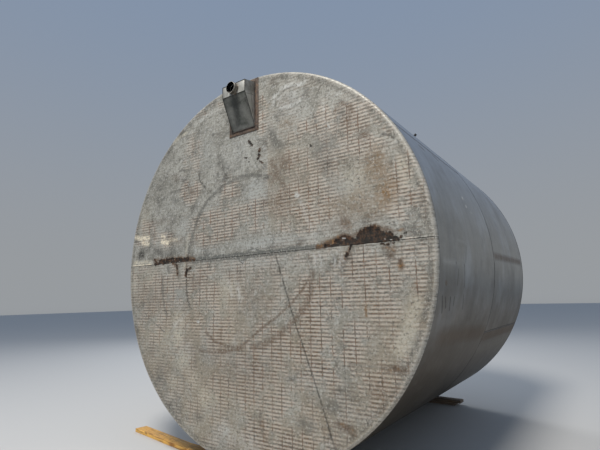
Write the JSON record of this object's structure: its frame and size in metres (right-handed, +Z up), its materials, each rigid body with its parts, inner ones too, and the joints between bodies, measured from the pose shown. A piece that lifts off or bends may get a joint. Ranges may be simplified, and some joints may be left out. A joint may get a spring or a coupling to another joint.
{
  "type": "vertical storage tank laid on its side on boards",
  "caption": "Round stainless plate storage tank with a flanged flat bottom, a drain sump and a shallow cone roof, laid on its side on timber boards and wedges.",
  "frame": {"origin": "middle of the footprint's bounding box, on the ground under the boards", "axes": "+Z up as the tank lies; +Y along the tank's axis from its flat bottom towards its roof; +X to the right as seen when facing the flat bottom. Turned so that -Y points down, the tank stands upright"},
  "size_m": [3.9106, 4.3446, 3.7357],
  "materials": {
    "bottom_steel": "weathered mill finish with rust stains",
    "shell_steel": "satin mill finish, dusty",
    "weld_steel": "as welded, heat darkened",
    "sump_steel": "dull, stained",
    "rusted_bar": "rusted",
    "drain_steel": "dull, rust stained",
    "fitting_steel": "satin, dusty",
    "fresh_timber": "sawn, orange tan",
    "grey_timber": "sawn, weathered grey"
  },
  "bodies": {
    "root": {"bottom_plate_lower": "bottom_steel", "bottom_plate_upper": "bottom_steel", "bottom_rim_weld": "weld_steel", "bottom_seam_weld": "weld_steel", "drain_face": "sump_steel", "drain_pipe": "drain_steel", "front_lower_board": "fresh_timber", "front_upper_board": "fresh_timber", "front_wedge_left": "fresh_timber", "front_wedge_right": "fresh_timber", "girth_weld": "weld_steel", "lifting_lug_1": "fitting_steel", "lifting_lug_2": "fitting_steel", "lower_course_plate_1": "shell_steel", "lower_course_plate_2": "shell_steel", "lower_course_plate_3": "shell_steel", "lower_course_plate_4": "shell_steel", "lower_course_plate_5": "shell_steel", "lower_course_plate_6": "shell_steel", "lower_course_weld_1": "weld_steel", "lower_course_weld_2": "weld_steel", "manway_cover": "fitting_steel", "manway_neck": "fitting_steel", "rear_lower_board": "grey_timber", "rear_upper_board": "grey_timber", "rear_wedge_left": "grey_timber", "rear_wedge_right": "grey_timber", "roof_plate_1": "shell_steel", "roof_plate_2": "shell_steel", "roof_plate_3": "shell_steel", "roof_plate_4": "shell_steel", "roof_rim_weld": "weld_steel", "shell_clip": "weld_steel", "sump_end": "sump_steel", "sump_floor": "sump_steel", "sump_frame": "rusted_bar", "sump_side_left": "sump_steel", "sump_side_right": "sump_steel", "upper_course_plate_1": "shell_steel", "upper_course_plate_2": "shell_steel", "upper_course_plate_3": "shell_steel", "upper_course_plate_4": "shell_steel", "upper_course_plate_5": "shell_steel", "upper_course_plate_6": "shell_steel", "upper_course_weld_1": "weld_steel", "upper_course_weld_2": "weld_steel", "vent_nozzle": "fitting_steel"}
  },
  "joints": []
}
